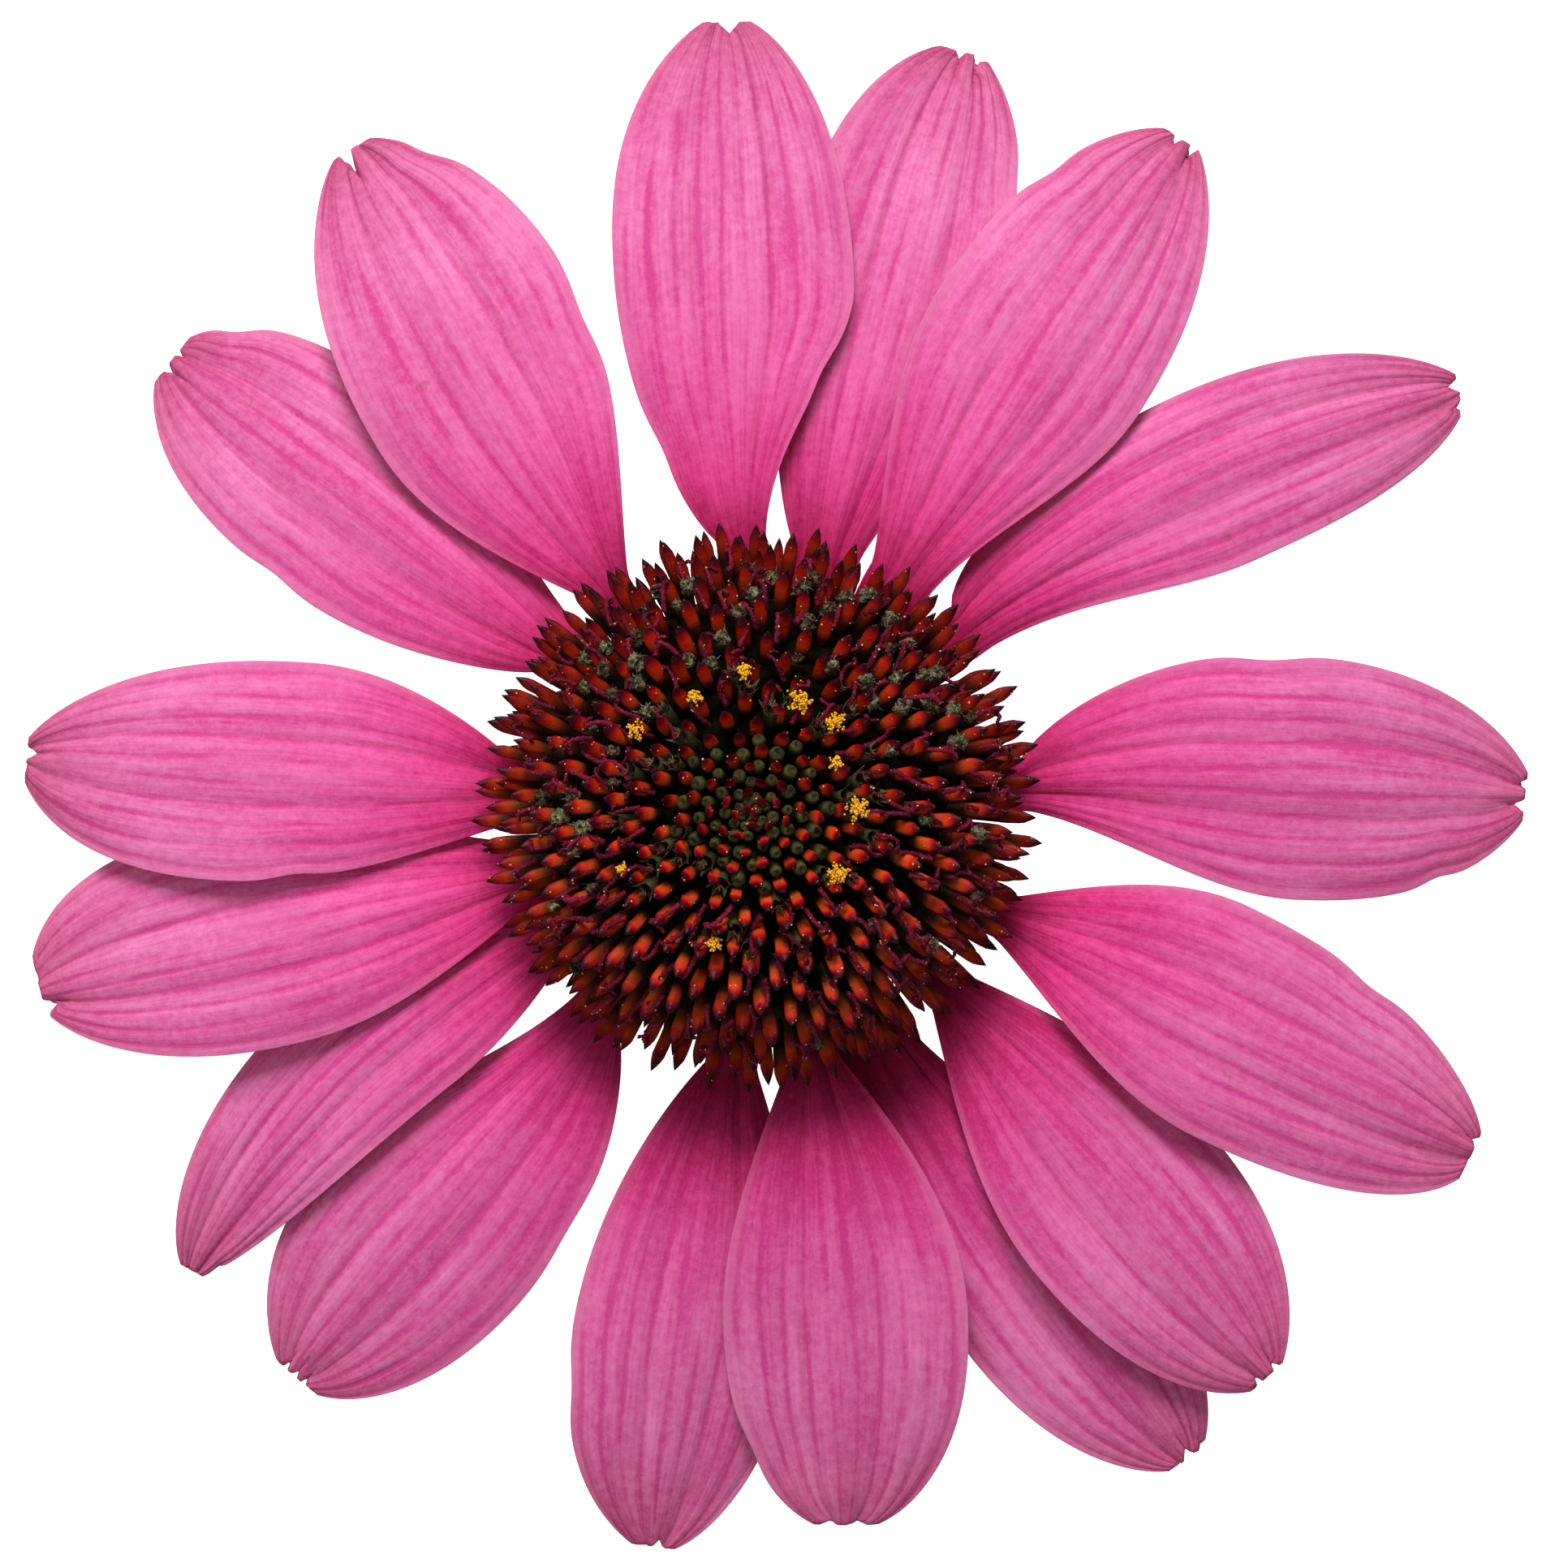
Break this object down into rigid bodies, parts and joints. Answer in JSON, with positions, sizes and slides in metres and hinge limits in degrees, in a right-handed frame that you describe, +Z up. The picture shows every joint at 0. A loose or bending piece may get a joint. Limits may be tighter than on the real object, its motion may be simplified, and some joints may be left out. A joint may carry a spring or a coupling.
{
  "type": "coneflower head",
  "caption": "Picked purple coneflower head resting face up: drooping pink ray florets round a domed, spiny orange-red cone, green bracts beneath and a short stub of stem.",
  "frame": {"origin": "centre of the cut under the stem stub, on the surface that the head rests on", "axes": "+Z up through the cone; +Y towards the first ray floret, which is the top of the picture; +X to its right"},
  "size_m": [0.1125, 0.1141, 0.0272],
  "materials": {
    "stem_green": "fine ribs and short bristly hairs, satin",
    "spine_orange_red": "stiff and glossy, dark at the foot, maroon at the tip",
    "ray_pink": "velvety, with long darker veins and two grooves",
    "floret_olive": "small dark olive buds and withered florets, satin",
    "style_crimson": "soft curled styles, satin",
    "pollen_yellow": "fine powder in small clumps, matt"
  },
  "bodies": {
    "root": {"stem_and_bracts": "stem_green", "cone": "spine_orange_red", "ray_floret_01": "ray_pink", "ray_floret_02": "ray_pink", "ray_floret_03": "ray_pink", "ray_floret_04": "ray_pink", "ray_floret_05": "ray_pink", "ray_floret_06": "ray_pink", "ray_floret_07": "ray_pink", "ray_floret_08": "ray_pink", "ray_floret_09": "ray_pink", "ray_floret_10": "ray_pink", "ray_floret_11": "ray_pink", "ray_floret_12": "ray_pink", "ray_floret_13": "ray_pink", "ray_floret_14": "ray_pink", "ray_floret_15": "ray_pink", "ray_floret_16": "ray_pink"}
  },
  "joints": []
}
